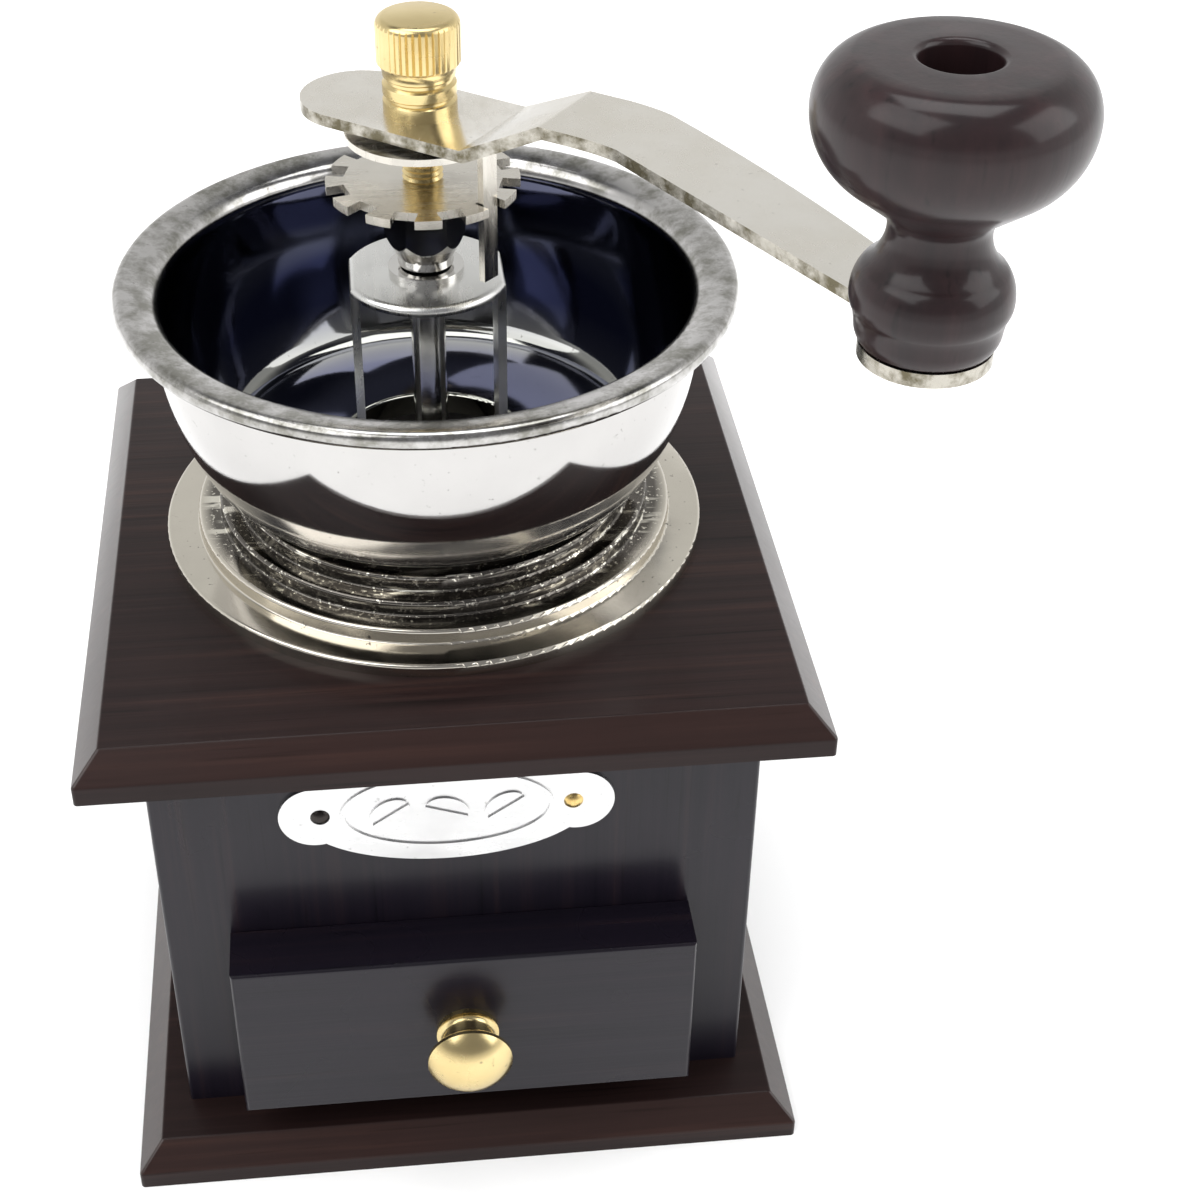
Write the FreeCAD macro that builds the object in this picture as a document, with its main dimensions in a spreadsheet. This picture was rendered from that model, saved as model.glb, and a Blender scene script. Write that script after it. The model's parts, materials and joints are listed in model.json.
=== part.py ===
"""Hand crank coffee grinder: a wooden box mill with a steel hopper, an iron burr set and a drawer.

Millimetres. The origin is the centre of the base board's underside, +Z is up and the drawer
opens towards -Y. The mill axis is vertical and stands a little behind the origin.
"""
import FreeCAD, Part
import math
import os
import Sketcher

os.makedirs("parts", exist_ok=True)

DIMENSIONS = {
    # wooden case
    "board_side": 125, "board_height": 8, "board_bevel": 4.5, "body_width": 106, "body_height": 89,
    "mill_offset": 4, "panel_wall": 8, "wood_round": 0.8, "mill_hole_radius": 22.5, "front_gap": 0.3,
    "window_half_width": 37, "window_low": 18, "window_high": 50,
    # drawer
    "drawer_half_width": 41.5, "drawer_low": 16.5, "drawer_high": 52.5, "drawer_front_wall": 11,
    "box_half_width": 36, "box_low": 19, "box_high": 47, "box_wall": 4, "box_floor": 3,
    "box_depth": 89, "runner_gap": 0.25, "runner_width": 15, "runner_guide_high": 30,
    "drawer_knob_level": 34.5, "drawer_knob_radius": 7.6, "drawer_knob_reach": 11.5,
    # hopper and pedestal
    "sheet_metal": 1, "pedestal_radius": 49.2, "rim_radius": 53.6, "rim_level": 155.2,
    "hopper_floor": 120, "throat_radius": 17.5, "hopper_wall_curve": 47, "rim_bead": 1.5,
    "step_one": 43.2, "step_two": 39.1, "step_three": 35.9, "first_step": 2.3, "step_rise": 2.8,
    # burr set
    "burr_outer_radius": 21.5, "burr_flange_radius": 31, "burr_low": 82, "burr_gap": 0.7,
    "cone_low_radius": 13.8, "cone_top_radius": 10.2, "cone_low": 90.5, "cone_high": 105.5,
    "mill_screw_ring": 27, "mill_screw_radius": 2,
    # shaft and bearings
    "shaft_radius": 3, "running_gap": 0.05, "shaft_low": 76, "stud_radius": 2.7,
    "square_side": 3.8, "bridge_top": 155.5, "bridge_radius": 14.5, "bridge_half_span": 13.3,
    "bridge_metal": 1.5, "bush_radius": 5, "bush_flange_radius": 6.5, "washer_wall": 0.8,
    # grind adjustment
    "wheel_low": 171, "wheel_metal": 1.5, "wheel_tip_radius": 16.3, "wheel_root_radius": 13.2,
    "wheel_teeth": 12, "wheel_notch": 4, "hub_radius": 4.8, "hub_flats": 12, "lock_radius": 12.7,
    "lock_metal": 1.2, "lock_low": 180.3, "tab_width": 3.4, "tab_radius": 13.6, "tab_low": 158.5,
    "tab_heading": -45,
    # crank
    "crank_low": 182.5, "crank_metal": 2, "crank_lift": 6.4, "crank_heading": -37,
    "head_half_width": 10, "head_reach": 12.1, "bend_start": 14.3, "bend_end": 27.7,
    "arm_half_width": 8, "arm_curve": 390, "pin_along": 104, "pin_across": -37.9,
    "eye_radius": 8.8, "cap_top": 201, "cap_radius": 6.9, "cap_collar_radius": 6.1, "cap_knurls": 40,
    # handle
    "pin_radius": 3, "knob_low_gap": 0.4, "knob_height": 38.3, "knob_head_radius": 17.4,
    "knob_neck_radius": 6.6, "knob_foot_radius": 10.5, "knob_hole_radius": 5, "knob_hole_floor": 16,
    # nameplate
    "plate_level": 79.2, "plate_half_width": 29.2, "plate_offset": -1.8, "plate_half_height": 11.6,
    "plate_metal": 0.6,
    "plate_lobe": 6.4, "nail_spacing": 44,
}


class Size:
    """A length that carries both its value and the spreadsheet expression behind it."""

    def __init__(self, value, text):
        self.value = value
        self.text = text

    def combined(self, other, sign, value):
        text = other.text if isinstance(other, Size) else repr(float(other))
        return Size(value, "(" + self.text + " " + sign + " " + text + ")")

    def __add__(self, other):
        return self.combined(other, "+", self.value + number(other))

    def __sub__(self, other):
        return self.combined(other, "-", self.value - number(other))

    def __mul__(self, other):
        return self.combined(other, "*", self.value * number(other))

    def __truediv__(self, other):
        return self.combined(other, "/", self.value / number(other))

    def __neg__(self):
        return self * -1

    def __radd__(self, other):
        return self + other

    def __rsub__(self, other):
        return -self + other

    def __rmul__(self, other):
        return self * other


def number(size):
    return float(size.value) if isinstance(size, Size) else float(size)


doc = FreeCAD.newDocument("grinder")
sheet = doc.addObject("Spreadsheet::Sheet", "Dimensions")
size = {}
for row, (alias, amount) in enumerate(DIMENSIONS.items(), start=1):
    sheet.set("A" + str(row), alias)
    sheet.set("B" + str(row), str(amount))
    sheet.setAlias("B" + str(row), alias)
    size[alias] = Size(float(amount), "Dimensions." + alias)
doc.recompute()

BOARD = size["board_height"]
BODY_TOP = BOARD + size["body_height"]
CASE_TOP = BODY_TOP + BOARD
MILL_Y = size["mill_offset"]
HALF_BODY = size["body_width"] / 2
WALL = size["panel_wall"]
FRONT_FACE = MILL_Y - HALF_BODY
DRAWER_FACE = FRONT_FACE - size["front_gap"]
SHEET = size["sheet_metal"]
CRANK_TOP = size["crank_low"] + size["crank_metal"]
ARM_TOP = CRANK_TOP + size["crank_lift"]
STEP = size["step_rise"]
RUNNING_RADIUS = size["shaft_radius"] + size["running_gap"]

CONVEX = -1
CONCAVE = 1

nodes = {}


# ---------------------------------------------------------------- building blocks

def bind(item, prop, length):
    """Tie one property of an object to the spreadsheet."""
    if isinstance(length, Size):
        item.setExpression(prop, length.text)
    else:
        item.setExpression(prop, repr(float(length)))


def place(item, base, turn=0):
    """Put an object at a point, turned about the vertical by a spreadsheet angle."""
    for axis_name, length in zip("xyz", base):
        bind(item, "Placement.Base." + axis_name, length)
    if turn:
        item.Placement.Rotation = FreeCAD.Rotation(FreeCAD.Vector(0, 0, 1), number(turn))
        for axis_name, length in zip("xyz", base):
            bind(item, "Placement.Base." + axis_name, length)


def keep(name, item):
    """Register an object as the finished sub-part of that name."""
    item.Label = name
    nodes[name] = item
    return item


def box(low, high):
    """A block between two corners."""
    block = doc.addObject("Part::Box", "Block")
    for prop, start, end in zip(("Length", "Width", "Height"), low, high):
        bind(block, prop, end - start)
    place(block, low)
    return block


def rod(radius, low, high, x=0, y=None):
    """A vertical round bar between two levels."""
    bar = doc.addObject("Part::Cylinder", "Rod")
    bind(bar, "Radius", radius)
    bind(bar, "Height", high - low)
    place(bar, (x, MILL_Y if y is None else y, low))
    return bar


def bore_forward(radius, x, level, back, length):
    """A round bar that lies along -Y and starts at the plane Y = back."""
    bar = doc.addObject("Part::Cylinder", "Rod")
    bind(bar, "Radius", radius)
    bind(bar, "Height", length)
    bar.Placement.Rotation = FreeCAD.Rotation(FreeCAD.Vector(1, 0, 0), 90)
    for axis_name, at in zip("xyz", (x, back, level)):
        bind(bar, "Placement.Base." + axis_name, at)
    return bar


def joined(pieces):
    if len(pieces) == 1:
        return pieces[0]
    whole = doc.addObject("Part::MultiFuse", "Joined")
    whole.Shapes = pieces
    whole.Refine = True
    return whole


def cut(base, tools):
    """The base with every tool taken away."""
    result = doc.addObject("Part::Cut", "Cut")
    result.Base = base
    result.Tool = joined(tools)
    result.Refine = True
    return result


def common(first, second):
    result = doc.addObject("Part::Common", "Common")
    result.Base = first
    result.Tool = second
    result.Refine = True
    return result


def edges_where(item, test):
    """Numbers of the edges whose two ends (or middle) satisfy a test on the edge."""
    doc.recompute()
    return [index + 1 for index, edge in enumerate(item.Shape.Edges) if test(edge)]


def eased(item, radius, test, kind="Part::Fillet"):
    """Round or bevel the edges that pass the test."""
    result = doc.addObject(kind, "Eased")
    result.Base = item
    amount = number(radius)
    result.Edges = [(index, amount, amount) for index in edges_where(item, test)]
    return result


def all_ends(edge, check):
    return all(check(vertex.Point) for vertex in edge.Vertexes)


def upright(edge):
    return abs(edge.tangentAt(edge.FirstParameter).z) > 0.9


def near(first, second):
    return abs(number(first) - number(second)) < 1e-4


def plane_of(body, role):
    return [feature for feature in body.Origin.OriginFeatures if feature.Role == role][0]


def arc_through(start, end, radius, bulge):
    """Centre and end angles of the short arc from start to end; bulge +1 swells to the left."""
    a = FreeCAD.Vector(*start, 0)
    b = FreeCAD.Vector(*end, 0)
    half = (b - a).Length / 2
    reach = math.sqrt(max(radius * radius - half * half, 0))
    along = (b - a).normalize()
    left = FreeCAD.Vector(-along.y, along.x, 0)
    centre = (a + b) * 0.5 - left * (bulge * reach)
    first, last = (a, b) if bulge < 0 else (b, a)
    angles = [math.atan2(point.y - centre.y, point.x - centre.x) for point in (first, last)]
    return centre, angles[0], angles[1]


def outline(body, role, points):
    """A closed sketch. A point is (u, v) or, where an arc leads to it, (u, v, radius, bulge)."""
    sketch = body.newObject("Sketcher::SketchObject", "Outline")
    sketch.AttachmentSupport = [(plane_of(body, role), "")]
    sketch.MapMode = "FlatFace"
    flat = [(number(point[0]), number(point[1])) for point in points]
    starts = []
    ends = []
    for index, start in enumerate(flat):
        following = points[(index + 1) % len(points)]
        end = flat[(index + 1) % len(points)]
        if len(following) == 2:
            line = Part.LineSegment(FreeCAD.Vector(*start, 0), FreeCAD.Vector(*end, 0))
            geometry = sketch.addGeometry(line, False)
            starts.append((geometry, 1))
            ends.append((geometry, 2))
        else:
            radius, bulge = following[2:]
            centre, first, last = arc_through(start, end, number(radius), bulge)
            circle = Part.Circle(centre, FreeCAD.Vector(0, 0, 1), number(radius))
            geometry = sketch.addGeometry(Part.ArcOfCircle(circle, first, last), False)
            starts.append((geometry, 1 if bulge < 0 else 2))
            ends.append((geometry, 2 if bulge < 0 else 1))
    for index, end in enumerate(ends):
        start = starts[(index + 1) % len(starts)]
        sketch.addConstraint(Sketcher.Constraint("Coincident", *end, *start))
    for index, point in enumerate(points):
        for kind, axis, length in (("DistanceX", -2, point[0]), ("DistanceY", -1, point[1])):
            if number(length) == 0:
                sketch.addConstraint(Sketcher.Constraint("PointOnObject", *starts[index], axis))
                continue
            rule = sketch.addConstraint(Sketcher.Constraint(kind, -1, 1, *starts[index], number(length)))
            if isinstance(length, Size):
                sketch.setExpression("Constraints[" + str(rule) + "]", length.text)
        following = points[(index + 1) % len(points)]
        if len(following) == 4:
            radius = following[2]
            rule = sketch.addConstraint(Sketcher.Constraint("Radius", starts[index][0], number(radius)))
            if isinstance(radius, Size):
                sketch.setExpression("Constraints[" + str(rule) + "]", radius.text)
    return sketch


def turned(points, y=None, x=0):
    """A turned piece: the outline of (radius, level) points swept about a vertical axis."""
    body = doc.addObject("PartDesign::Body", "Turned")
    sketch = outline(body, "XZ_Plane", points)
    feature = body.newObject("PartDesign::Revolution", "Revolution")
    feature.Profile = sketch
    feature.ReferenceAxis = (sketch, ["V_Axis"])
    feature.Angle = 360
    place(body, (x, MILL_Y if y is None else y, 0))
    return body


def plate(points, low, thickness, base=None, turn=0):
    """A flat piece: an outline in plan, padded upwards from a level."""
    body = doc.addObject("PartDesign::Body", "Plate")
    sketch = outline(body, "XY_Plane", points)
    feature = body.newObject("PartDesign::Pad", "Pad")
    feature.Profile = sketch
    bind(feature, "Length", thickness)
    x, y = base if base else (0, MILL_Y)
    place(body, (x, y, low), turn)
    return body


def dome_curve(radius, rise):
    """Radius of the arc that closes a dome, with its centre on the axis."""
    return (radius * radius + rise * rise) / (rise * 2)


def ring_of(count, radius, first_angle=90):
    """Offsets from the mill axis of evenly spaced places on a circle."""
    steps = [math.radians(first_angle + index * 360 / count) for index in range(count)]
    return [(math.cos(angle), math.sin(angle), radius) for angle in steps]


def ring_rods(radius, low, high, places):
    return [rod(radius, low, high, reach * along, MILL_Y + reach * across) for along, across, reach in places]


# ---------------------------------------------------------------- wooden case

SCREW_INSET = 4
CASE_SCREW_RADIUS = 1.6
CASE_SCREW_LENGTH = 24
SCREW_HEAD_RADIUS = 3.4
SCREW_HEAD_DEPTH = 2.2
DOWEL_RADIUS = 3
DOWEL_DEPTH = 12
DOWEL_BITE = 5

corner_places = [(side, end) for side in (-1, 1) for end in (-1, 1)]
corner_x = HALF_BODY - SCREW_INSET
side_y = HALF_BODY - SCREW_INSET
mill_screw_places = ring_of(3, size["mill_screw_ring"])


def corner_rods(radius, low, high):
    return [rod(radius, low, high, corner_x * side, MILL_Y + side_y * end) for side, end in corner_places]


def bevelled_board(low):
    half = size["board_side"] / 2
    board = box((-half, -half, low), (half, half, low + BOARD))
    top = low + BOARD

    def on_top(edge):
        return all_ends(edge, lambda point: near(point.z, top))

    bevel = eased(board, size["board_bevel"], on_top, "Part::Chamfer")

    def outer(edge):
        return all_ends(edge, lambda point: point.z > number(low) + 0.01) or upright(edge)

    return eased(bevel, size["wood_round"], outer)


def base_board():
    holes = corner_rods(CASE_SCREW_RADIUS, 0, BOARD)
    heads = [screw_head(side, end) for side, end in corner_places]
    keep("base_board", cut(bevelled_board(0), holes + heads))


def screw_head(side, end):
    """The countersunk head of one base screw, flush with the underside."""
    head = doc.addObject("Part::Cone", "Head")
    bind(head, "Radius1", SCREW_HEAD_RADIUS)
    bind(head, "Radius2", CASE_SCREW_RADIUS)
    bind(head, "Height", SCREW_HEAD_DEPTH)
    place(head, (corner_x * side, MILL_Y + side_y * end, 0))
    return head



def top_board():
    mouth = rod(size["mill_hole_radius"], BODY_TOP, CASE_TOP)
    screws = ring_rods(size["mill_screw_radius"], BODY_TOP, CASE_TOP, mill_screw_places)
    dowels = corner_rods(DOWEL_RADIUS, BODY_TOP, BODY_TOP + DOWEL_BITE)
    keep("top_board", cut(bevelled_board(BODY_TOP), [mouth] + screws + dowels))


def upright_edges(edge, y):
    return upright(edge) and all_ends(edge, lambda point: near(point.y, y))


def drill_panel(panel):
    screws = corner_rods(CASE_SCREW_RADIUS, BOARD, CASE_SCREW_LENGTH)
    dowels = corner_rods(DOWEL_RADIUS, BODY_TOP - (DOWEL_DEPTH - DOWEL_BITE), BODY_TOP)
    return cut(panel, screws + dowels)


def front_panel():
    wide = size["window_half_width"]
    blank = box((-HALF_BODY, FRONT_FACE, BOARD), (HALF_BODY, FRONT_FACE + WALL, BODY_TOP))
    rounded = eased(blank, size["wood_round"], lambda edge: upright_edges(edge, FRONT_FACE))
    window = box((-wide, FRONT_FACE - 1, size["window_low"]),
                 (wide, FRONT_FACE + WALL + 1, size["window_high"]))
    keep("front_panel", drill_panel(cut(rounded, [window] + nail_holes())))


def back_panel():
    back = MILL_Y + HALF_BODY
    blank = box((-HALF_BODY, back - WALL, BOARD), (HALF_BODY, back, BODY_TOP))
    rounded = eased(blank, size["wood_round"], lambda edge: upright_edges(edge, back))
    keep("back_panel", drill_panel(rounded))


def side_panels():
    near_end = FRONT_FACE + WALL
    far_end = MILL_Y + HALF_BODY - WALL
    left = box((-HALF_BODY, near_end, BOARD), (-HALF_BODY + WALL, far_end, BODY_TOP))
    right = box((HALF_BODY - WALL, near_end, BOARD), (HALF_BODY, far_end, BODY_TOP))
    keep("left_panel", left)
    keep("right_panel", right)


def runners():
    """L-shaped strips that carry the drawer and guide its sides."""
    near_end = FRONT_FACE + WALL
    far_end = MILL_Y + HALF_BODY - WALL
    seat = size["box_low"] - size["runner_gap"]
    guide = size["box_half_width"] + size["runner_gap"]
    wall = HALF_BODY - WALL
    for name, side in (("drawer_runner_left", -1), ("drawer_runner_right", 1)):
        inner = wall - size["runner_width"]
        ledge_x = (inner, wall) if side > 0 else (-wall, -inner)
        guide_x = (guide, wall) if side > 0 else (-wall, -guide)
        ledge = box((ledge_x[0], near_end, BOARD), (ledge_x[1], far_end, seat))
        rail = box((guide_x[0], near_end, seat), (guide_x[1], far_end, size["runner_guide_high"]))
        keep(name, joined([ledge, rail]))


def case_fasteners():
    screws = []
    for side, end in corner_places:
        x = corner_x * side
        y = MILL_Y + side_y * end
        shank = rod(CASE_SCREW_RADIUS, 0, CASE_SCREW_LENGTH, x, y)
        screws.append(joined([screw_head(side, end), shank]))
    keep("base_screws", group(screws))
    dowels = corner_rods(DOWEL_RADIUS, BODY_TOP - (DOWEL_DEPTH - DOWEL_BITE), BODY_TOP + DOWEL_BITE)
    keep("top_dowels", group(dowels))


def group(pieces):
    """Several separate solids under one name."""
    whole = doc.addObject("Part::Compound", "Group")
    whole.Links = pieces
    return whole


# ---------------------------------------------------------------- drawer

FRONT_SCREW_RADIUS = 1.5
KNOB_SCREW_BITE = 6


def drawer():
    front = DRAWER_FACE - size["drawer_front_wall"]
    wide = size["drawer_half_width"]
    half = size["box_half_width"]
    wall = size["box_wall"]
    low = size["box_low"]
    high = size["box_high"]
    far = FRONT_FACE + size["box_depth"]
    board = box((-wide, front, size["drawer_low"]), (wide, DRAWER_FACE, size["drawer_high"]))

    def on_front(edge):
        return all_ends(edge, lambda point: near(point.y, front))

    eased_board = eased(board, size["wood_round"], on_front)
    hole = bore_forward(FRONT_SCREW_RADIUS, 0, size["drawer_knob_level"], DRAWER_FACE,
                        size["drawer_front_wall"])
    keep("drawer_front", cut(eased_board, [hole]))
    keep("drawer_left_side", box((-half, DRAWER_FACE, low), (-half + wall, far, high)))
    keep("drawer_right_side", box((half - wall, DRAWER_FACE, low), (half, far, high)))
    keep("drawer_back", box((-half + wall, far - wall, low), (half - wall, far, high)))
    floor_top = low + size["box_floor"]
    keep("drawer_bottom", box((-half + wall, DRAWER_FACE, low), (half - wall, far - wall, floor_top)))


def turned_forward(points, x, y, level):
    """A turned piece whose axis lies along -Y; a point is (radius, distance forward of y)."""
    body = turned(points)
    body.Placement.Rotation = FreeCAD.Rotation(FreeCAD.Vector(1, 0, 0), 90)
    for axis_name, at in zip("xyz", (x, y, level)):
        bind(body, "Placement.Base." + axis_name, at)
    return body


def drawer_knob():
    """A brass mushroom knob, and the screw that holds it from inside the drawer."""
    reach = size["drawer_knob_reach"]
    head = size["drawer_knob_radius"]
    level = size["drawer_knob_level"]
    front = DRAWER_FACE - size["drawer_front_wall"]
    neck = head * 0.6
    body = turned_forward([(0, 0), (neck + 1.1, 0), (neck + 1.1, 1), (neck, 2, 1.2, CONCAVE),
                           (neck, reach * 0.42), (head, reach * 0.6, 5, CONVEX), (head, reach * 0.66),
                           (0, reach, dome_curve(head, reach * 0.34), CONVEX)],
                          0, front, level)
    keep("drawer_knob", cut(body, [bore_forward(FRONT_SCREW_RADIUS, 0, level, front, KNOB_SCREW_BITE)]))
    shank = bore_forward(FRONT_SCREW_RADIUS, 0, level, DRAWER_FACE,
                         size["drawer_front_wall"] + KNOB_SCREW_BITE)
    head_disc = bore_forward(3.2, 0, level, DRAWER_FACE + 1.8, 1.8)
    keep("drawer_knob_screw", joined([shank, head_disc]))


# ---------------------------------------------------------------- nameplate

NAIL_RADIUS = 0.8
NAIL_DEPTH = 6
NAIL_HEAD = 1.7


def nail_places():
    return [size["plate_offset"] + size["nail_spacing"] * (side / 2) for side in (-1, 1)]


def nail_holes():
    """Holes for the nameplate nails, drilled into the front panel."""
    return [bore_forward(NAIL_RADIUS, x, size["plate_level"], FRONT_FACE + NAIL_DEPTH, NAIL_DEPTH)
            for x in nail_places()]


def nameplate():
    """A stamped plate: a long oval with a lobe at each end and a raised oval bead with beans."""
    level = size["plate_level"]
    metal = size["plate_metal"]
    tall = size["plate_half_height"]
    oval = doc.addObject("Part::Ellipse", "Oval")
    bind(oval, "MajorRadius", size["plate_half_width"] - 4)
    bind(oval, "MinorRadius", tall)
    centre = doc.addObject("Part::Extrusion", "Centre")
    centre.Base = oval
    centre.Dir = FreeCAD.Vector(0, 0, 1)
    bind(centre, "LengthFwd", metal)
    centre.Solid = True
    centre.Placement.Rotation = FreeCAD.Rotation(FreeCAD.Vector(1, 0, 0), 90)
    for axis_name, at in zip("xyz", (size["plate_offset"], FRONT_FACE, level)):
        bind(centre, "Placement.Base." + axis_name, at)
    lobe_x = size["plate_half_width"] - size["plate_lobe"]
    lobes = [bore_forward(size["plate_lobe"], size["plate_offset"] + lobe_x * side, level, FRONT_FACE, metal)
             for side in (-1, 1)]
    blank = joined([centre] + lobes)
    holes = [bore_forward(NAIL_RADIUS, x, level, FRONT_FACE, metal) for x in nail_places()]
    ring = joined([cut(blank, holes), plate_relief()])
    keep("nameplate", ring)
    nails = []
    for x in nail_places():
        shank = bore_forward(NAIL_RADIUS, x, level, FRONT_FACE + NAIL_DEPTH, metal + NAIL_DEPTH)
        dome = turned_forward([(0, 0), (NAIL_HEAD, 0), (0, 0.9, dome_curve(NAIL_HEAD, 0.9), CONVEX)],
                              x, FRONT_FACE - metal, level)
        nails.append(joined([shank, dome]))
    keep("nameplate_nails", group(nails))


def plate_relief():
    """A raised oval bead and three coffee beans, as one stamped relief."""
    y = number(FRONT_FACE) - number(size["plate_metal"])
    level = number(size["plate_level"])
    rise = 0.35
    pieces = []
    outer = Part.Ellipse(FreeCAD.Vector(0, 0, 0), 18.6, 8.6)
    inner = Part.Ellipse(FreeCAD.Vector(0, 0, 0), 17.8, 7.8)
    bead = Part.Face(Part.Wire(outer.toShape())).cut(Part.Face(Part.Wire(inner.toShape())))
    pieces.append(bead.extrude(FreeCAD.Vector(0, 0, rise)))
    for x, tilt in ((-10, 35), (0, -20), (10, 35)):
        bean = Part.Face(Part.Wire(Part.Ellipse(FreeCAD.Vector(0, 0, 0), 3.9, 2.7).toShape()))
        crease = Part.makeBox(9, 0.6, 1, FreeCAD.Vector(-4.5, -0.3, -0.1))
        solid = bean.extrude(FreeCAD.Vector(0, 0, rise)).cut(crease)
        solid.rotate(FreeCAD.Vector(0, 0, 0), FreeCAD.Vector(0, 0, 1), tilt)
        solid.translate(FreeCAD.Vector(x, 0, 0))
        pieces.append(solid)
    relief = doc.addObject("Part::Feature", "Relief")
    relief.Shape = Part.Compound(pieces)
    turn = FreeCAD.Rotation(FreeCAD.Vector(1, 0, 0), 90)
    relief.Placement = FreeCAD.Placement(FreeCAD.Vector(number(size["plate_offset"]), y, level), turn)
    return relief


# ---------------------------------------------------------------- hopper, pedestal and burrs

BURR_FLANGE = 3


def pedestal():
    """A stepped ring of sheet metal that carries the hopper on the top board."""
    edge = size["pedestal_radius"]
    ceiling = size["hopper_floor"] - SHEET - BURR_FLANGE
    mouth = size["mill_hole_radius"] + 2
    levels = [CASE_TOP + size["first_step"], CASE_TOP + size["first_step"] + STEP,
              CASE_TOP + size["first_step"] + STEP + STEP, ceiling]
    radii = [edge, size["step_one"], size["step_two"], size["step_three"], mouth]
    stairs = [(edge, CASE_TOP)]
    under = [(edge - SHEET, CASE_TOP)]
    for index, level in enumerate(levels):
        outer = radii[index]
        inner = radii[index + 1]
        stairs += [(outer, level - 0.7), (outer - 0.7, level, 0.7, CONVEX)]
        under += [(outer - SHEET, level - SHEET)]
        if index < len(levels) - 1:
            stairs += [(inner + 0.4, level), (inner, level + 0.4, 0.4, CONCAVE)]
            under += [(inner - SHEET, level - SHEET)]
    stairs += [(mouth, ceiling), (mouth, ceiling - SHEET)]
    under.reverse()
    ring = turned(stairs + under)
    holes = ring_rods(size["mill_screw_radius"], ceiling - 2, ceiling + 1, mill_screw_places)
    keep("pedestal_ring", cut(ring, holes))


def hopper():
    """The steel bowl: a flat lip with a rolled edge, a curved wall and a floor with a collared mouth."""
    rim = size["rim_radius"]
    top = size["rim_level"]
    floor = size["hopper_floor"]
    mouth = size["throat_radius"]
    bead = size["rim_bead"]
    curve = size["hopper_wall_curve"]
    inside = [(mouth, floor - 4.2), (mouth, floor - 0.4), (mouth + 0.6, floor, 0.8, -1), (36.2, floor + 0.5),
              (40.2, floor + 3.2, 5, -1), (46.1, top - 4.6, curve, -1), (47.9, top - 0.6, 3.2, 1),
              (rim - bead * 2, top), (rim - bead, top + 0.2), (rim, top - bead, bead, 1)]
    outside = [(rim - bead, top - bead * 2, bead, 1), (rim - bead - 1.2, top - bead - 0.6, 1.6, 1),
               (rim - bead - 1.6, top - SHEET), (48.3, top - SHEET - 0.6), (47.1, top - 5, 2.4, -1),
               (41.1, floor + 2.6, curve + SHEET, 1), (36.4, floor - 0.6, 6, 1),
               (mouth + SHEET, floor - SHEET),
               (mouth + SHEET, floor - 4.2)]
    keep("hopper_bowl", turned(inside + outside))


FOOT_LEVEL = 112
FOOT_METAL = 1.5


def outer_burr():
    """The cast iron ring: a flange, a seat for the bridge feet and a toothed conical bore."""
    low = size["burr_low"]
    gap = size["burr_gap"]
    throat = size["throat_radius"] + SHEET
    top = size["hopper_floor"] - SHEET
    wall = size["burr_outer_radius"]
    flange = size["burr_flange_radius"]
    waist = size["cone_top_radius"] + gap
    mouth = size["cone_low_radius"] + gap
    ledge = size["throat_radius"]
    seat = floor_of_collar()
    ring = turned([(mouth, low), (wall, low), (wall, top - 5), (wall + 2, top - 3, 2, CONCAVE),
                   (flange, top - 3), (flange, top), (throat, top), (throat, seat), (ledge, seat),
                   (ledge, FOOT_LEVEL), (13, FOOT_LEVEL), (waist, size["cone_high"]),
                   (mouth, size["cone_low"])])
    screws = ring_rods(size["mill_screw_radius"], top - 3, top - 0.5, mill_screw_places)
    feet = [rod(FOOT_SCREW_RADIUS, FOOT_LEVEL - FOOT_SCREW_BITE, FOOT_LEVEL, x) for x in foot_places()]
    bars = [rod(BAR_SCREW_RADIUS, low, low + BAR_SCREW_BITE, x) for x in bar_places()]
    keep("outer_burr", cut(ring, screws + feet + bars + [burr_grooves(waist, mouth)]))


def floor_of_collar():
    return size["hopper_floor"] - 4.2


def burr_grooves(waist, mouth):
    """Slanting furrows in the bore of the outer burr."""
    high = number(size["cone_high"])
    low = number(size["cone_low"])
    count = 14
    furrows = []
    for index in range(count):
        turn = index * 360 / count
        furrows.append(furrow(number(waist), number(mouth), high, low, turn, 18, 0.9))
    item = doc.addObject("Part::Feature", "Furrows")
    item.Shape = Part.Compound(furrows)
    item.Placement.Base = FreeCAD.Vector(0, number(MILL_Y), 0)
    return item


def furrow(top_radius, low_radius, high, low, turn, sweep, depth):
    """A slanting V groove along a cone, as a loft between its two ends."""
    ends = []
    for radius, level, angle in ((top_radius, high + 0.5, turn), (low_radius, low - 3, turn + sweep)):
        spot = math.radians(angle)
        out = FreeCAD.Vector(math.cos(spot), math.sin(spot), 0)
        side = FreeCAD.Vector(-out.y, out.x, 0)
        lift = FreeCAD.Vector(0, 0, level)
        root = out * (radius - depth)
        corners = [root - side * 0.9, root + side * 0.9, out * (radius + depth)]
        ends.append(Part.makePolygon([corner + lift for corner in corners] + [corners[0] + lift]))
    return Part.makeLoft(ends, True, True)


CONE_CROWN = 5.2


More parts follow.
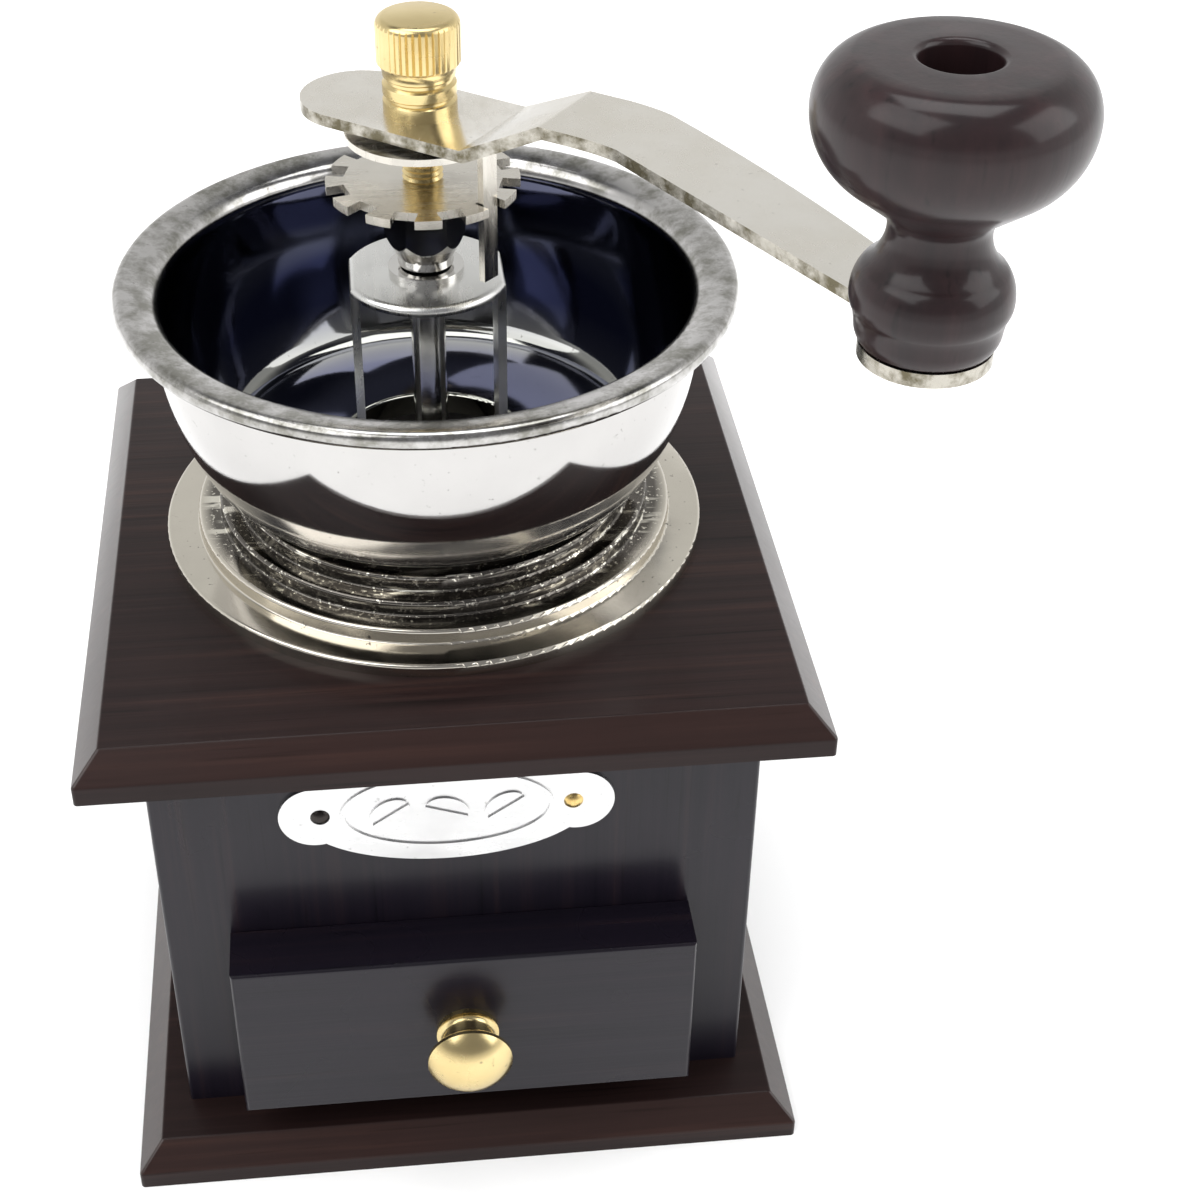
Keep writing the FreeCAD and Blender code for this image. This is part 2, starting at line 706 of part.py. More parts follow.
def inner_burr():
    """The cone on the shaft, with coarse furrows that draw the beans down."""
    low_radius = size["cone_low_radius"]
    top_radius = size["cone_top_radius"]
    low = size["cone_low"]
    high = size["cone_high"]
    shaft = size["shaft_radius"]
    crown = high + CONE_CROWN
    cone = turned([(shaft, low), (low_radius, low), (top_radius, high), (shaft + 2.2, crown), (shaft, crown)])
    furrows = []
    count = 9
    for index in range(count):
        turn = index * 360 / count
        furrows.append(furrow(number(top_radius), number(low_radius), number(high), number(low), turn,
                              -32, 1.3))
    item = doc.addObject("Part::Feature", "Furrows")
    item.Shape = Part.Compound(furrows)
    item.Placement.Base = FreeCAD.Vector(0, number(MILL_Y), 0)
    keep("inner_burr", cut(cone, [item]))


BAR_SCREW_RADIUS = 1.5
BAR_SCREW_BITE = 6
BAR_METAL = 3
BAR_REACH = 18
BAR_HALF_LENGTH = 21
BAR_HALF_WIDTH = 4.5


def bar_places():
    return (-BAR_REACH, BAR_REACH)


def bearing_bar():
    """The bottom bearing: a strap across the mouth of the outer burr, held by two screws."""
    top = size["burr_low"]
    low = top - BAR_METAL
    strap = box((-BAR_HALF_LENGTH, MILL_Y - BAR_HALF_WIDTH, low),
                (BAR_HALF_LENGTH, MILL_Y + BAR_HALF_WIDTH, top))
    boss = rod(7, low - 1.5, top)
    holes = [rod(RUNNING_RADIUS, low - 3, top + 1)]
    holes += [rod(BAR_SCREW_RADIUS, low - 1, top + 1, x, MILL_Y) for x in bar_places()]
    rounded = eased(strap, 2.5, upright)
    keep("bearing_bar", cut(joined([rounded, boss]), holes))
    screws = []
    for x in bar_places():
        shank = rod(BAR_SCREW_RADIUS, low, top + BAR_SCREW_BITE, x, MILL_Y)
        head = rod(2.8, low - 1.8, low, x, MILL_Y)
        screws.append(joined([shank, head]))
    keep("bar_screws", group(screws))


def mill_screws():
    """Three long screws that pull the burr flange and the pedestal down on the top board."""
    top = size["hopper_floor"] - SHEET
    screws = []
    shanks = ring_rods(size["mill_screw_radius"], BODY_TOP, top - 0.5, mill_screw_places)
    heads = ring_rods(3.6, BODY_TOP - 2.4, BODY_TOP, mill_screw_places)
    for shank, head in zip(shanks, heads):
        screws.append(joined([shank, head]))
    keep("mill_screws", group(screws))


FOOT_SCREW_RADIUS = 1.1
FOOT_SCREW_BITE = 5
FOOT_REACH = 15.2


def foot_places():
    return (-FOOT_REACH, FOOT_REACH)


def bridge():
    """A stamped strap over the burrs: a round top plate, two legs and two feet."""
    top = size["bridge_top"]
    metal = size["bridge_metal"]
    span = size["bridge_half_span"]
    radius = size["bridge_radius"]
    half_leg = math.sqrt(number(radius) ** 2 - number(span) ** 2)
    crown = plate([(-span, -half_leg), (span, -half_leg, radius, -1), (span, half_leg),
                   (-span, half_leg, radius, -1)], top - metal, metal)
    legs = []
    for side in (-1, 1):
        face = span * side
        inner = (span - metal) * side
        tip = (FOOT_REACH + 1.9) * side
        low_x, high_x = (face, inner) if side < 0 else (inner, face)
        leg = box((low_x, MILL_Y - half_leg, FOOT_LEVEL), (high_x, MILL_Y + half_leg, top - metal * 0.5))
        foot_low, foot_high = (tip, inner) if side < 0 else (inner, tip)
        foot = box((foot_low, MILL_Y - 3.4, FOOT_LEVEL), (foot_high, MILL_Y + 3.4, FOOT_LEVEL + FOOT_METAL))
        legs += [leg, foot]
    whole = joined([crown] + legs)

    def fold(edge):
        return all_ends(edge, lambda point: near(point.z, top) and near(abs(point.x), span))

    folded = eased(whole, 1.2, fold)
    holes = [rod(size["bush_radius"], top - metal - 1, top + 1)]
    holes += [rod(FOOT_SCREW_RADIUS, FOOT_LEVEL - 1, FOOT_LEVEL + 3, x) for x in foot_places()]
    keep("bridge", cut(folded, holes))
    screws = []
    for x in foot_places():
        shank = rod(FOOT_SCREW_RADIUS, FOOT_LEVEL - FOOT_SCREW_BITE, FOOT_LEVEL + FOOT_METAL, x)
        head = rod(1.8, FOOT_LEVEL + FOOT_METAL, FOOT_LEVEL + FOOT_METAL + 1.2, x)
        screws.append(joined([shank, head]))
    keep("bridge_screws", group(screws))


BUSH_FLANGE = 1


def bridge_bush():
    top = size["bridge_top"]
    low = top - 5.5
    outer = size["bush_radius"]
    flange = size["bush_flange_radius"]
    cap = top + BUSH_FLANGE
    keep("bridge_bush", turned([(RUNNING_RADIUS, low), (outer, low), (outer, top), (flange, top),
                                (flange, cap), (RUNNING_RADIUS, cap)]))


# ---------------------------------------------------------------- shaft, spring and adjustment

def crank_shaft():
    radius = size["shaft_radius"]
    stud = size["stud_radius"]
    shoulder = size["wheel_low"] + size["wheel_metal"]
    collar = size["cone_high"] + CONE_CROWN
    foot = size["shaft_low"]
    stop = size["lock_low"]
    lower = turned([(0, foot), (radius - 0.6, foot), (radius, foot + 0.6), (radius, collar),
                    (radius + 1.6, collar), (radius + 1.6, collar + 1.2), (radius, collar + 1.2),
                    (radius, shoulder), (stud, shoulder), (stud, stop), (0, stop)])
    half = size["square_side"] / 2
    square = box((-half, MILL_Y - half, size["lock_low"]), (half, MILL_Y + half, CRANK_TOP))
    thread = turned([(0, CRANK_TOP), (half * 1.05, CRANK_TOP), (half * 1.05, THREAD_TOP), (0, THREAD_TOP)])
    keep("crank_shaft", joined([lower, square, thread]))


THREAD_TOP = CRANK_TOP + 11


WASHER_GAP = 0.2


def spring_washer():
    """A thin washer between the spring and the bearing bar."""
    low = size["burr_low"] + WASHER_GAP
    bore = rod(size["shaft_radius"], low - 1, low + 2)
    keep("spring_washer", cut(rod(6.6, low, low + size["washer_wall"]), [bore]))


def burr_spring():
    """A compression spring that keeps the inner burr pressed up against its collar."""
    wire = 0.5
    radius = 5
    low = number(size["burr_low"] + WASHER_GAP + size["washer_wall"])
    high = number(size["cone_low"])
    pitch = 1.9
    turns = (high - low - 2 * wire) / pitch
    helix = Part.makeHelix(pitch, turns * pitch, radius)
    start = FreeCAD.Vector(radius, 0, 0)
    section = Part.Wire(Part.makeCircle(wire, start, FreeCAD.Vector(0, 1, 0)))
    coil = Part.Wire(helix.Edges).makePipeShell([section], True, True)
    item = doc.addObject("Part::Feature", "Spring")
    item.Shape = coil
    item.Placement.Base = FreeCAD.Vector(0, number(MILL_Y), low + wire)
    keep("burr_spring", item)


def adjusting_nut():
    """The hub under the toothed wheel: a hexagon with chamfered corners on a round sleeve."""
    low = size["bridge_top"] + BUSH_FLANGE + 0.3
    high = size["wheel_low"]
    hub = size["hub_radius"]
    bore = size["shaft_radius"]
    corner = size["hub_flats"] * 0.577
    sleeve = turned([(bore, low), (hub - 0.4, low), (hub, low + 0.4), (hub, high - 12.4),
                     (corner, high - 8.4), (corner, high - 0.5), (corner - 0.5, high), (bore, high)])
    prism = doc.addObject("Part::Prism", "Hexagon")
    prism.Polygon = 6
    bind(prism, "Circumradius", corner)
    bind(prism, "Height", high - low)
    place(prism, (0, MILL_Y, low))
    keep("adjusting_nut", common(sleeve, prism))


def adjusting_wheel():
    """A toothed disc: twelve square teeth around its edge."""
    low = size["wheel_low"]
    high = low + size["wheel_metal"]
    tip = rod(size["wheel_tip_radius"], low, high)
    count = int(number(size["wheel_teeth"]))
    notches = []
    for index in range(count):
        notch = doc.addObject("Part::Box", "Notch")
        bind(notch, "Length", 6)
        bind(notch, "Width", size["wheel_notch"])
        bind(notch, "Height", size["wheel_metal"] + 2)
        turn = number(size["tab_heading"]) + index * 360 / count
        heading = math.radians(turn)
        root = size["wheel_root_radius"]
        half = size["wheel_notch"] / 2
        base = (root * math.cos(heading) + half * math.sin(heading),
                MILL_Y + root * math.sin(heading) - half * math.cos(heading), low - 1)
        place(notch, base, turn)
        notches.append(notch)
    bore = rod(size["shaft_radius"], low - 1, high + 1)
    keep("adjusting_wheel", cut(tip, notches + [bore]))


def thread_sleeve():
    """A threaded brass ring between the toothed wheel and the lock plate."""
    low = size["wheel_low"] + size["wheel_metal"]
    high = size["lock_low"]
    outer = size["stud_radius"] + 0.75
    ridges = []
    count = 8
    pitch = (high - low) / count
    for index in range(count):
        foot = low + pitch * index
        ridges += [(outer - 0.35, foot), (outer, foot + pitch * 0.5)]
    bore = size["stud_radius"]
    keep("thread_sleeve", turned([(bore, low)] + ridges + [(outer - 0.35, high), (bore, high)]))


def lock_plate():
    """A round plate on the square of the shaft; its long tab drops into a notch of the wheel."""
    low = size["lock_low"]
    metal = size["lock_metal"]
    disc = rod(size["lock_radius"], low, low + metal)
    heading = number(size["tab_heading"])
    radial = FreeCAD.Vector(math.cos(math.radians(heading)), math.sin(math.radians(heading)), 0)
    half = size["tab_width"] / 2
    reach = size["tab_radius"]

    def turned_box(start, end, bottom, top):
        item = doc.addObject("Part::Box", "Tab")
        bind(item, "Length", end - start)
        bind(item, "Width", size["tab_width"])
        bind(item, "Height", top - bottom)
        base = (start * radial.x + half * radial.y, MILL_Y + start * radial.y - half * radial.x, bottom)
        place(item, base, heading)
        return item

    neck = turned_box(size["lock_radius"] - 4, reach + metal, low, low + metal)
    tab = turned_box(reach, reach + metal, size["tab_low"], low + metal)
    half_square = size["square_side"] / 2
    hole = box((-half_square, MILL_Y - half_square, low - 1), (half_square, MILL_Y + half_square, low + 3))
    keep("lock_plate", cut(joined([disc, neck, tab]), [hole]))


def crank_washer():
    low = size["lock_low"] + size["lock_metal"]
    disc = rod(5, low, size["crank_low"])
    half = size["square_side"] / 2
    hole = box((-half, MILL_Y - half, low - 1), (half, MILL_Y + half, size["crank_low"] + 1))
    keep("crank_washer", cut(disc, [hole]))


# ---------------------------------------------------------------- crank and handle

def pin_spot():
    """Offset of the handle pin from the mill axis, in the frame of the object."""
    heading = math.radians(number(size["crank_heading"]))
    along = size["pin_along"]
    across = size["pin_across"]
    x = along * math.cos(heading) - across * math.sin(heading)
    y = along * math.sin(heading) + across * math.cos(heading)
    return x, MILL_Y + y


def crank_arm():
    """A flat bar with a wide head, a short upward ramp, a curved arm and a round eye."""
    low = size["crank_low"]
    metal = size["crank_metal"]
    head = size["head_half_width"]
    start = size["bend_start"]
    end = size["bend_end"]
    arm = size["arm_half_width"]
    curve = size["arm_curve"]
    eye = size["eye_radius"]
    along = size["pin_along"]
    across = size["pin_across"]
    reach = size["head_reach"]
    plan = plate([(-reach, -head, head, CONVEX), (start, -head), (end, -arm), (end + 6, -arm),
                  (end + 14, -arm - 0.9, 36, CONCAVE), (along - eye * 1.55, across + eye * 0.82),
                  (along - eye * 0.97, across + eye * 0.24, 6, CONCAVE), (along, across - eye, eye, CONVEX),
                  (along + eye * 0.97, across + eye * 0.24, eye, CONVEX),
                  (along + eye * 0.5, across + eye * 0.866, eye, CONVEX),
                  (end + 15, arm - 1.3, curve, CONVEX),
                  (end + 7, arm, 36, CONVEX), (end, arm), (start, head), (-reach, head),
                  (-reach - head, 0, head, CONVEX)],
                 low, size["crank_lift"] + metal, turn=size["crank_heading"])
    body = doc.addObject("PartDesign::Body", "Ramp")
    far = along + eye + 2
    near_end = -size["head_reach"] - head - 2
    lift = size["crank_lift"]
    band = [(near_end, low), (start + 0.35, low), (end + 0.35, low + lift), (far, low + lift),
            (far, low + lift + metal), (end - 0.35, low + lift + metal), (start - 0.35, low + metal),
            (near_end, low + metal)]
    sketch = outline(body, "XZ_Plane", band)
    feature = body.newObject("PartDesign::Pad", "Pad")
    feature.Profile = sketch
    feature.Midplane = True
    bind(feature, "Length", 140)
    place(body, (0, MILL_Y, 0), size["crank_heading"])
    bar = common(plan, body)
    half = size["square_side"] / 2
    square = box((-half, MILL_Y - half, low - 1), (half, MILL_Y + half, CRANK_TOP + 1))
    x, y = pin_spot()
    pin = rod(PIN_TENON, low + lift - 1, ARM_TOP + 1, x, y)
    keep("crank_arm", cut(bar, [square, pin]))


PIN_TENON = 2.4


def cap_nut():
    """The brass cap nut: grooved collar, knurled barrel and a low dome."""
    low = CRANK_TOP
    top = size["cap_top"]
    collar = size["cap_collar_radius"]
    barrel = size["cap_radius"]
    bore = size["square_side"] / 2 * 1.05
    body = turned([(bore, low), (collar, low), (collar, low + 2.2), (collar - 0.5, low + 2.6),
                   (collar - 0.5, low + 3.0), (collar, low + 3.4), (collar, low + 5.0),
                   (collar - 0.6, low + 5.5), (collar - 0.6, low + 6.0), (collar - 0.1, low + 6.4),
                   (barrel, low + 8.6, 3.2, CONCAVE), (barrel, top - 1.6),
                   (barrel - 1.4, top - 0.4, 1.5, CONVEX),
                   (0, top, dome_curve(barrel - 1.4, 0.4), CONVEX), (0, THREAD_TOP + 0.5),
                   (bore, THREAD_TOP + 0.5)])
    tool = doc.addObject("Part::Feature", "Knurls")
    grooves = []
    count = int(number(size["cap_knurls"]))
    for index in range(count):
        spot = math.radians(index * 360 / count)
        out = FreeCAD.Vector(math.cos(spot), math.sin(spot), 0)
        side = FreeCAD.Vector(-out.y, out.x, 0)
        edge = number(barrel)
        corners = [out * (edge + 0.2) - side * 0.42, out * (edge + 0.2) + side * 0.42, out * (edge - 0.32)]
        face = Part.Face(Part.makePolygon(corners + [corners[0]]))
        groove = face.extrude(FreeCAD.Vector(0, 0, number(top - low) - 8.6))
        groove.translate(FreeCAD.Vector(0, 0, number(low) + 8.0))
        grooves.append(groove)
    tool.Shape = Part.Compound(grooves)
    tool.Placement.Base = FreeCAD.Vector(0, number(MILL_Y), 0)
    keep("cap_nut", cut(body, [tool]))


def handle_pin():
    """A shouldered pin, riveted over under the crank arm, with its head sunk in the handle."""
    x, y = pin_spot()
    low = size["crank_low"] + size["crank_lift"]
    head_low = ARM_TOP + size["knob_low_gap"] + size["knob_hole_floor"] + 0.3
    radius = size["pin_radius"]
    rivet = PIN_TENON + 1.2
    head = radius + 1.3
    keep("handle_pin", turned([(0, low - 1.4), (rivet, low - 0.8, dome_curve(rivet, 0.6), CONVEX),
                               (rivet, low), (PIN_TENON, low), (PIN_TENON, ARM_TOP), (radius, ARM_TOP),
                               (radius, head_low), (head, head_low), (head, head_low + 1.6),
                               (0, head_low + 2.6, dome_curve(head, 1), CONVEX)],
                              y, x))


def handle_knob():
    """The turned wooden handle: rounded foot with a bead, slim neck and a wide, flat-topped head."""
    x, y = pin_spot()
    low = ARM_TOP + size["knob_low_gap"]
    tall = size["knob_height"] - size["knob_low_gap"]
    bore = size["pin_radius"] + size["running_gap"]
    foot = size["knob_foot_radius"]
    neck = size["knob_neck_radius"]
    head = size["knob_head_radius"]
    well = size["knob_hole_radius"]
    floor = low + size["knob_hole_floor"]
    top = low + tall
    keep("handle_knob", turned([(bore, low), (foot - 1.7, low), (foot - 0.9, low + 2.4, 4, CONVEX),
                                (foot - 0.6, low + 4.2), (foot, low + 6.8, 4, CONVEX),
                                (foot - 1.3, low + 10.4, 6, CONVEX), (neck, low + 15.6, 6.5, CONCAVE),
                                (neck + 1.4, low + 18.4, 3.5, CONCAVE), (head - 4.2, low + 22.4),
                                (head, top - 6.9, 10.9, CONVEX), (head - 1.1, top - 2.9, 7.8, CONVEX),
                                (head - 4.8, top - 0.15, 6, CONVEX), (well + 0.9, top),
                                (well, top - 0.9, 0.9, CONVEX), (well, floor), (bore, floor)],
                               y, x))


# ---------------------------------------------------------------- build and export

builders = (base_board, top_board, front_panel, back_panel, side_panels, runners, case_fasteners, drawer,
            drawer_knob, nameplate, pedestal, hopper, outer_burr, inner_burr, bearing_bar, mill_screws,
            bridge, bridge_bush, crank_shaft, spring_washer, burr_spring, adjusting_nut, adjusting_wheel,
            thread_sleeve, lock_plate, crank_washer, crank_arm, cap_nut, handle_pin, handle_knob)
for build in builders:
    build()

doc.recompute()

failed = [item.Label for item in doc.Objects if "Invalid" in item.State or "Error" in item.State]
if failed:
    raise RuntimeError("failed objects: " + ", ".join(failed))
for name, item in nodes.items():
    if item.Shape.isNull() or not item.Shape.isValid() or item.Shape.Volume <= 0:
        raise RuntimeError("bad shape: " + name)
for name, item in nodes.items():
    item.Shape.exportStep("parts/" + name + ".step")
    print(name, round(item.Shape.Volume, 1), len(item.Shape.Solids), item.Shape.BoundBox)
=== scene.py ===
"""Hand crank coffee grinder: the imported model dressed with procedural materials."""
import json
import math

import bpy
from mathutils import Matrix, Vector


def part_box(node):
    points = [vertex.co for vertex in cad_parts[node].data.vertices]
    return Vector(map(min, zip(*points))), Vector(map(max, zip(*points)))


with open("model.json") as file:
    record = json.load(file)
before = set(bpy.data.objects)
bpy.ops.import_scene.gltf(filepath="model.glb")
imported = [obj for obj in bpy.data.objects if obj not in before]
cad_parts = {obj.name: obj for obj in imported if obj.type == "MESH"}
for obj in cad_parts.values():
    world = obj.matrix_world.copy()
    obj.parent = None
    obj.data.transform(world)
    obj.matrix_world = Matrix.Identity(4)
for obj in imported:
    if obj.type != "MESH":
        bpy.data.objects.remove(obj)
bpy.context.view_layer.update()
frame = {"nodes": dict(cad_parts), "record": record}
nodes = frame["nodes"]
scene = bpy.context.scene


# ---------------------------------------------------------------- node helpers

class Nodes:
    """Short calls for making and joining the nodes of one shader tree."""

    def __init__(self, tree):
        self.tree = tree

    def add(self, kind, **values):
        node = self.tree.nodes.new(kind)
        for key, value in values.items():
            setattr(node, key, value)
        return node

    def link(self, source, target):
        self.tree.links.new(source, target)

    def axes(self, coordinate):
        """The x, y and z of one of the texture coordinates."""
        coords = self.add("ShaderNodeTexCoord")
        split = self.add("ShaderNodeSeparateXYZ")
        self.link(coords.outputs[coordinate], split.inputs["Vector"])
        return split.outputs

    def span(self, factor, low, high, start=0.0, end=1.0, shape="LINEAR"):
        """Goes from low to high while the factor goes from start to end, and stays there outside."""
        node = self.add("ShaderNodeMapRange", interpolation_type=shape)
        for key, value in (("From Min", start), ("From Max", end), ("To Min", low), ("To Max", high)):
            node.inputs[key].default_value = value
        self.link(factor, node.inputs["Value"])
        return node.outputs["Result"]

    def math(self, operation, first, second=0.0):
        node = self.add("ShaderNodeMath", operation=operation)
        for index, value in enumerate((first, second)):
            if isinstance(value, (int, float)):
                node.inputs[index].default_value = value
            else:
                self.link(value, node.inputs[index])
        return node.outputs["Value"]

    def mix(self, factor, first, second):
        """A colour between two others, each a plain colour or a socket."""
        node = self.add("ShaderNodeMix", data_type="RGBA")
        for index, value in ((0, factor), (6, first), (7, second)):
            if isinstance(value, tuple):
                node.inputs[index].default_value = (*value, 1)
            else:
                self.link(value, node.inputs[index])
        return node.outputs[2]


class Graph(Nodes):
    """A material with a Principled shader and short calls for the nodes behind it."""

    def __init__(self, name, **sockets):
        self.material = bpy.data.materials.new(name)
        self.material.use_nodes = True
        super().__init__(self.material.node_tree)
        self.shader = self.tree.nodes["Principled BSDF"]
        for socket, value in sockets.items():
            self.shader.inputs[socket.replace("_", " ")].default_value = value

    def place(self, scale=(1, 1, 1), shift=(0, 0, 0)):
        """Object coordinates in metres, stretched by a scale and then shifted."""
        coords = self.add("ShaderNodeTexCoord")
        mapping = self.add("ShaderNodeMapping")
        mapping.inputs["Scale"].default_value = scale
        mapping.inputs["Location"].default_value = shift
        self.link(coords.outputs["Object"], mapping.inputs["Vector"])
        return mapping.outputs["Vector"]

    def noise(self, vector, scale, detail, rough):
        node = self.add("ShaderNodeTexNoise")
        node.inputs["Scale"].default_value = scale
        node.inputs["Detail"].default_value = detail
        node.inputs["Roughness"].default_value = rough
        self.link(vector, node.inputs["Vector"])
        return node.outputs["Fac"]

    def ramp(self, factor, stops):
        node = self.add("ShaderNodeValToRGB")
        while len(node.color_ramp.elements) < len(stops):
            node.color_ramp.elements.new(0.5)
        for element, (at, colour) in zip(node.color_ramp.elements, stops):
            element.position = at
            element.color = (*colour, 1)
        self.link(factor, node.inputs["Fac"])
        return node.outputs["Color"]

    def steepness(self, level, upright):
        """0 where the face is level, 1 where it is upright, by the size of the normal's z."""
        return self.span(self.math("ABSOLUTE", self.axes("Normal")["Z"]), 1.0, 0.0, upright, level)

    def from_axis(self, axis):
        """The level vector from an upright axis, given by its x and y, to the shaded point."""
        return self.place((1, 1, 0), (-axis[0], -axis[1], 0))

    def radius(self, axis):
        """How far the shaded point is from an upright axis."""
        node = self.add("ShaderNodeVectorMath", operation="LENGTH")
        self.link(self.from_axis(axis), node.inputs[0])
        return node.outputs["Value"]

    def faces_axis(self, axis):
        """1 on the faces of a turned piece that look in towards its axis, 0 on the others."""
        coords = self.add("ShaderNodeTexCoord")
        outward = self.add("ShaderNodeVectorMath", operation="NORMALIZE")
        self.link(self.from_axis(axis), outward.inputs[0])
        dot = self.add("ShaderNodeVectorMath", operation="DOT_PRODUCT")
        self.link(outward.outputs["Vector"], dot.inputs[0])
        self.link(coords.outputs["Normal"], dot.inputs[1])
        return self.span(dot.outputs["Value"], 1.0, 0.0, -0.12, 0.0)

    def bump(self, height, distance, strength):
        """Adds relief on top of any relief that is there already."""
        node = self.add("ShaderNodeBump")
        node.inputs["Distance"].default_value = distance
        node.inputs["Strength"].default_value = strength
        self.link(height, node.inputs["Height"])
        last = self.shader.inputs["Normal"]
        if last.is_linked:
            self.link(last.links[0].from_socket, node.inputs["Normal"])
        self.link(node.outputs["Normal"], last)

    def set(self, socket, source):
        self.link(source, self.shader.inputs[socket])


def scaled(values, factor):
    return tuple(value * factor for value in values)


def stained_wood(name, stretch, dark, mid, warm, rough=0.34, coat=0.06, gloss=0.14, edge=True):
    """Dark stained and lacquered wood: long fibres, fine pores, a redder tone on bevels."""
    g = Graph(name, Coat_Weight=coat, Coat_Roughness=0.16, Specular_IOR_Level=gloss)
    fibres = g.noise(g.place(stretch), 1.0, 6.0, 0.62)
    bands = g.noise(g.place(scaled(stretch, 0.16)), 1.0, 2.0, 0.5)
    pores = g.noise(g.place(scaled(stretch, 2.6)), 1.0, 2.0, 0.7)
    cloud = g.noise(g.place(), 26.0, 3.0, 0.5)
    colour = g.ramp(fibres, ((0.3, dark), (0.55, mid), (0.78, warm)))
    colour = g.mix(g.span(bands, 0.0, 0.55, 0.35, 0.7), colour, mid)
    colour = g.mix(g.span(cloud, 0.0, 0.35, 0.4, 0.7), colour, dark)
    pits = g.span(pores, 1.0, 0.0, 0.28, 0.4)
    colour = g.mix(g.math("MULTIPLY", pits, 0.6), colour, scaled(dark, 0.45))
    if edge:
        tilt = g.math("ABSOLUTE", g.axes("Normal")["Z"])
        bevel = g.math("MULTIPLY", g.span(tilt, 0.0, 1.0, 0.25, 0.55), g.span(tilt, 1.0, 0.0, 0.82, 0.97))
        side = g.math("MULTIPLY", bevel, g.math("ABSOLUTE", g.axes("Normal")["X"]))
        colour = g.mix(g.math("MULTIPLY", bevel, 0.22), colour, warm)
        g.set("Coat Weight", g.span(side, coat, 0.9, 0.0, 0.6))
    g.set("Base Color", colour)
    g.set("Roughness", g.span(cloud, rough - 0.07, rough + 0.1, 0.3, 0.7))
    g.bump(fibres, 0.00006, 0.6)
    g.bump(pores, 0.00004, 0.5)
    return g.material


def polished_metal(name, colour, rough, speck=0.0, wave=0.00008, brushed=None, tone=None, dress=None):
    """Plated or polished metal: slow ripples, smudged gloss and a few fine specks.

    dress is a function that may change the colour and the gloss before they reach the shader."""
    g = Graph(name, Metallic=1.0)
    base = g.place()
    smudge = g.noise(base, 60.0, 5.0, 0.6)
    ripple = g.noise(base, 38.0, 1.0, 0.4)
    fine = g.noise(base, 2600.0, 2.0, 0.6)
    shade = g.mix(g.span(smudge, 0.0, 0.5, 0.35, 0.7), colour, tone or scaled(colour, 0.86))
    gloss = g.span(smudge, rough * 0.65, rough * 1.5, 0.3, 0.7)
    if dress:
        shade, gloss = dress(g, shade, gloss)
    if speck:
        spots = g.span(g.noise(base, 700.0, 2.0, 0.7), 1.0, 0.0, 0.24, 0.32)
        shade = g.mix(g.math("MULTIPLY", spots, speck), shade, (0.08, 0.07, 0.06))
    g.set("Base Color", shade)
    if brushed:
        lines = g.noise(g.place(brushed), 1.0, 3.0, 0.6)
        gloss = g.math("ADD", gloss, g.span(lines, -0.05, 0.09, 0.3, 0.7))
        g.bump(lines, 0.00002, 0.35)
    g.set("Roughness", gloss)
    g.bump(ripple, wave, 0.35)
    g.bump(fine, 0.000006, 0.3)
    return g.material


def axis_of(node):
    """The x and y of the middle of a turned node."""
    low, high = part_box(node)
    return ((low[0] + high[0]) / 2, (low[1] + high[1]) / 2)


def dress_bowl(g, shade, gloss):
    """A painted reflection inside the bowl, dark and lightening towards the bottom, and a satin, stained lip.
    """
    low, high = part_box("hopper_bowl")
    bottom = low[2] + 0.003
    lip_start = high[2] - 0.004
    height = g.axes("Object")["Z"]
    below_lip = g.span(height, 1.0, 0.0, lip_start, lip_start + 0.001)
    # Painted reflection: faces that look in towards the axis below the lip are coloured dark blue, lighter
    # near the bottom.
    painted_wall_reflection = g.math("MULTIPLY", g.faces_axis(axis_of("hopper_bowl")), below_lip)
    painted_reflection_rise = g.span(height, 0.0, 1.0, bottom, bottom + 0.01)
    shade = g.mix(painted_wall_reflection, shade, g.mix(painted_reflection_rise, (0.34, 0.34, 0.30), (0.085, 0.092, 0.145)))
    lip = g.span(height, 0.0, 1.0, lip_start, lip_start + 0.002)
    stain = g.span(g.noise(g.place(), 170.0, 5.0, 0.7), 0.0, 1.0, 0.4, 0.62)
    shade = g.mix(g.math("MULTIPLY", lip, stain), shade, (0.24, 0.235, 0.21))
    gloss = g.math("ADD", gloss, g.math("MULTIPLY", lip, 0.13))
    return shade, gloss


def dress_crank(g, shade, gloss):
    """Painted shade in patches of dull olive on the narrow sides, clean plating on the broad faces."""
    patches = g.span(g.noise(g.place(), 240.0, 4.0, 0.65), 0.45, 1.0, 0.4, 0.6)
    # Painted shade: upright faces are darkened to olive in noise patches.
    painted_shading = g.math("MULTIPLY", g.steepness(0.8, 0.3), patches)
    return g.mix(painted_shading, shade, (0.13, 0.115, 0.075)), gloss


def dress_pedestal(g, shade, gloss):
    """Painted shade in the grooves inside the flat outer flange, with painted glints as bright streaks and
    sparkle.
    """
    low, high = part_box("pedestal_ring")
    flange_inner = (high[0] - low[0]) / 2 - 0.0085
    away = g.radius(axis_of("pedestal_ring"))
    grooves = g.span(away, 1.0, 0.0, flange_inner, flange_inner + 0.002)
    streaks = g.noise(g.place((60, 260, 900)), 1.0, 3.0, 0.65)
    sparkle = g.noise(g.place(), 1100.0, 2.0, 0.7)
    # Painted glints: bright streaks and sparkle laid over the painted shade of the grooves.
    painted_glints = g.math("MAXIMUM", g.span(streaks, 0.0, 1.0, 0.56, 0.63), g.span(sparkle, 0.0, 1.0, 0.6, 0.66))
    painted_shading = g.mix(painted_glints, (0.045, 0.040, 0.038), (0.80, 0.77, 0.68))
    return g.mix(g.math("MULTIPLY", grooves, 0.85), shade, painted_shading), gloss


